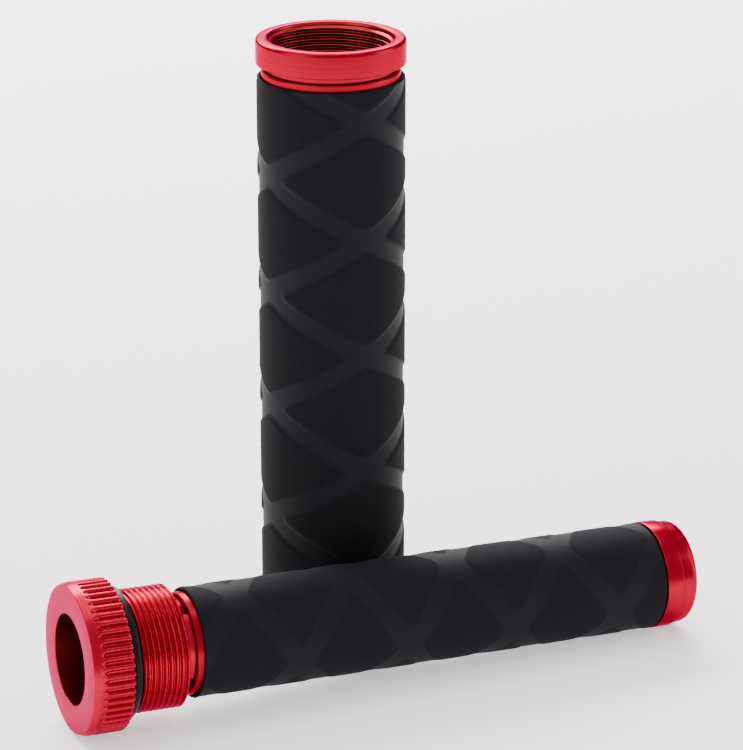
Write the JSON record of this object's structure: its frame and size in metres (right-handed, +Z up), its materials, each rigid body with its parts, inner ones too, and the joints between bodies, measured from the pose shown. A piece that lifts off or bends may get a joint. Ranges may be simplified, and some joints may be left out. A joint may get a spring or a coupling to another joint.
{
  "type": "nesting grip pair",
  "caption": "Pair of tubular hand grips, a wide threaded sleeve grip standing on its cap and a slim screw-headed grip lying beside it.",
  "frame": {"origin": "centre of the flat base of the standing wide grip, on the floor", "axes": "+Z up along the wide grip's axis; +X level, along the lying slim grip from its knurled head to its cap; the slim grip lies on the -Y side"},
  "size_m": [0.1447, 0.0617, 0.1359],
  "materials": {
    "anodised_red": "bright red anodised, turned, satin to polished",
    "sleeve_rubber": "matt black heat-shrunk rubber with a crossed band pattern",
    "seal_rubber": "black, semi-matt"
  },
  "bodies": {
    "wide_cap": {"wide_end_cap": "anodised_red"},
    "wide_cap_seal": {"wide_cap_o_ring": "seal_rubber"},
    "wide_grip": {"wide_core_tube": "anodised_red", "wide_sleeve": "sleeve_rubber", "threaded_collar": "anodised_red"},
    "slim_grip": {"slim_core_tube": "anodised_red", "slim_sleeve": "sleeve_rubber"},
    "head_seal": {"head_o_ring": "seal_rubber"},
    "screw_head": {"knurled_head": "anodised_red"},
    "slim_cap_seal": {"slim_cap_o_ring": "seal_rubber"},
    "slim_cap": {"slim_end_cap": "anodised_red"}
  },
  "joints": [
    {"name": "wide_cap_travel", "type": "slide", "parent": "wide_cap", "child": "wide_cap_seal", "axis": [0, 0, 1], "range_m": [0, 0.009]},
    {"name": "wide_cap_turn", "type": "hinge", "parent": "wide_cap_seal", "child": "wide_grip", "pos_m": [0, 0, 0], "axis": [0, 0, 1], "range_deg": [0, 3240]},
    {"name": "slim_grip_lift", "type": "slide", "parent": "wide_cap", "child": "slim_grip", "axis": [0, 0, 1], "range_m": [0, 0.15]},
    {"name": "head_travel", "type": "slide", "parent": "slim_grip", "child": "head_seal", "axis": [-0.9995, 0, 0.0324], "range_m": [0, 0.009]},
    {"name": "head_turn", "type": "hinge", "parent": "head_seal", "child": "screw_head", "pos_m": [-0.0724, -0.02925, 0.01652], "axis": [-0.9995, 0, 0.0324], "range_deg": [0, 3240]},
    {"name": "slim_cap_travel", "type": "slide", "parent": "slim_grip", "child": "slim_cap_seal", "axis": [0.9995, 0, -0.0324], "range_m": [0, 0.009]},
    {"name": "slim_cap_turn", "type": "hinge", "parent": "slim_cap_seal", "child": "slim_cap", "pos_m": [0.07152, -0.02925, 0.01185], "axis": [0.9995, 0, -0.0324], "range_deg": [0, 3240]}
  ],
  "couplings": [
    {"joint": "wide_cap_travel", "follows": "wide_cap_turn", "m_per_rad": 0.00015915},
    {"joint": "head_travel", "follows": "head_turn", "m_per_rad": 0.00015915},
    {"joint": "slim_cap_travel", "follows": "slim_cap_turn", "m_per_rad": 0.00015915}
  ]
}
